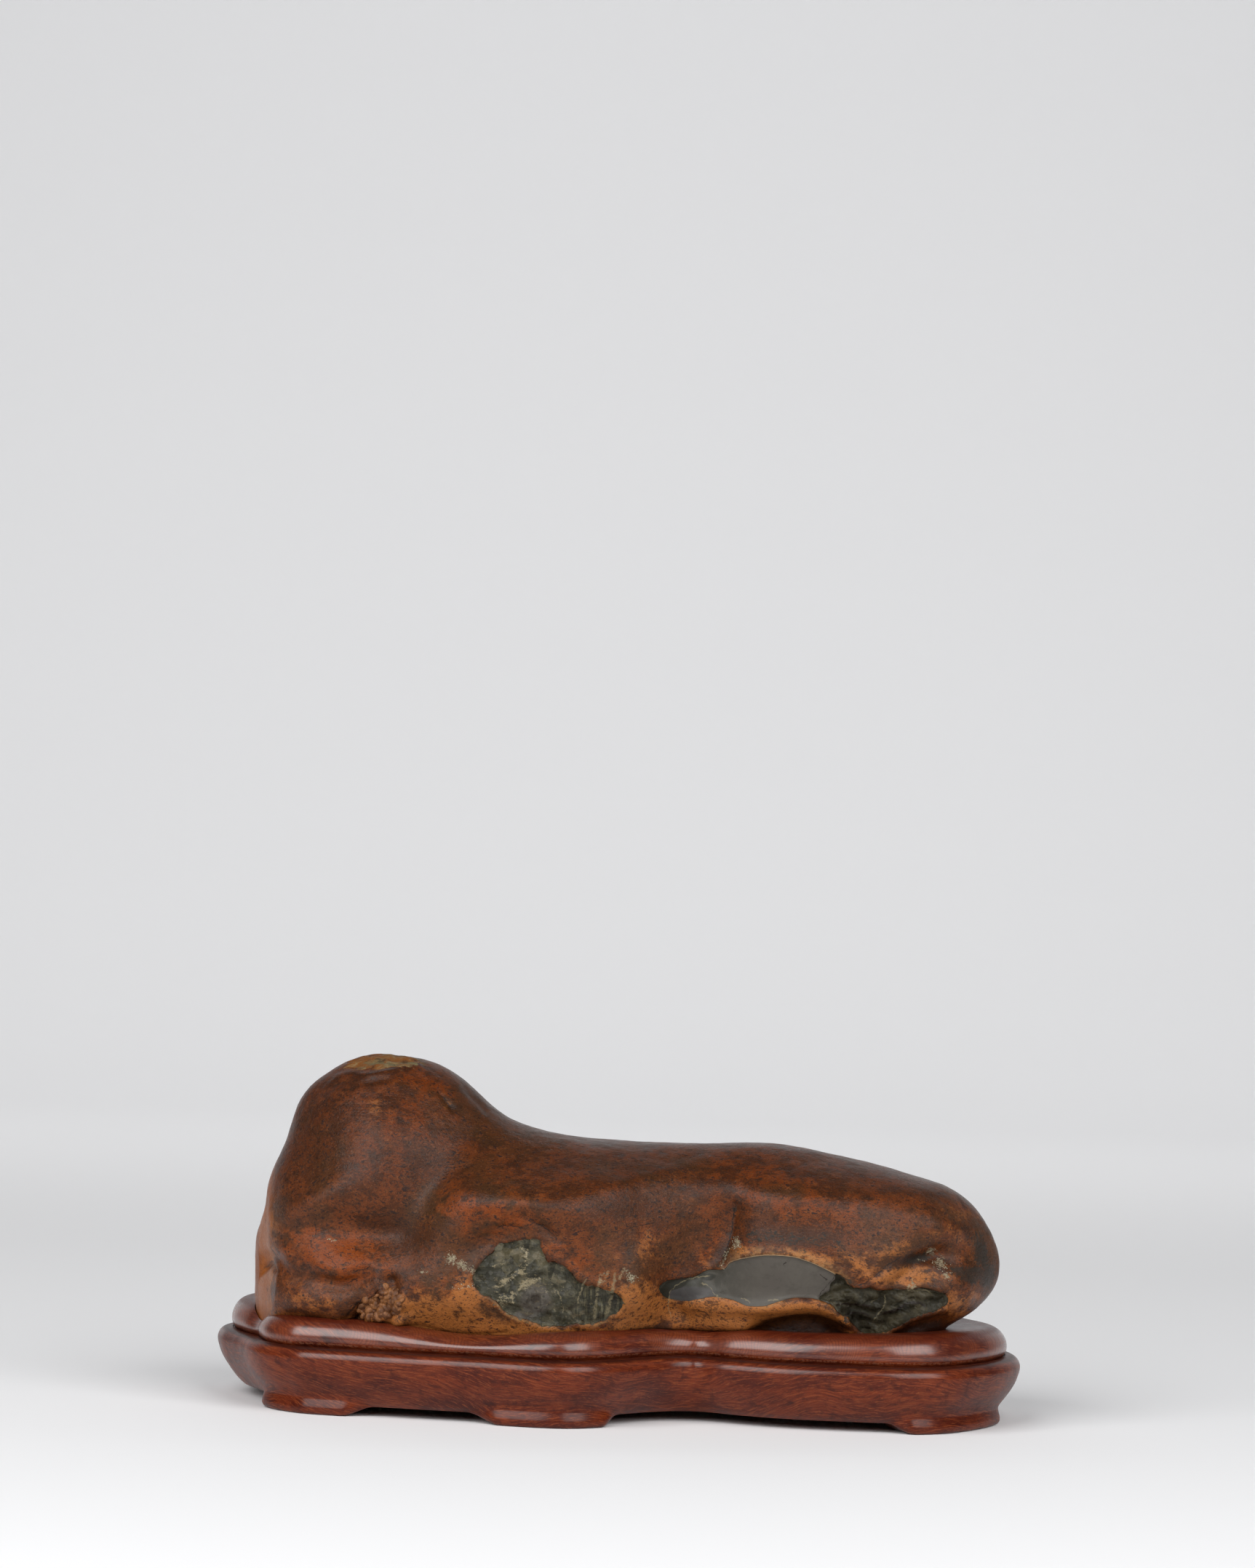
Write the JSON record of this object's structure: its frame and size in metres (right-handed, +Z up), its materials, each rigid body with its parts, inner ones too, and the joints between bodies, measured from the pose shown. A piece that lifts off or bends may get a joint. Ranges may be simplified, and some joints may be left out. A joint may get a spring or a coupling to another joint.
{
  "type": "scholar's rock on a carved wooden stand",
  "caption": "Long, low, water-worn viewing stone with a raised head, seated in a lobed hardwood stand on low bracket feet",
  "frame": {"origin": "The middle of the footprint of stone and stand together, on the surface that the feet rest on.", "axes": "+X runs along the stone from its raised head to its low end, -Y is its front and +Z is up."},
  "size_m": [0.3045, 0.1329, 0.1315],
  "materials": {
    "brown_rind": "Hand-waxed brown rind over dark grey stone, satin",
    "red_hardwood": "Red-brown hardwood, oiled and polished, satin to semi-gloss"
  },
  "bodies": {
    "root": {"rock": "brown_rind", "wood_stand": "red_hardwood"}
  },
  "joints": []
}
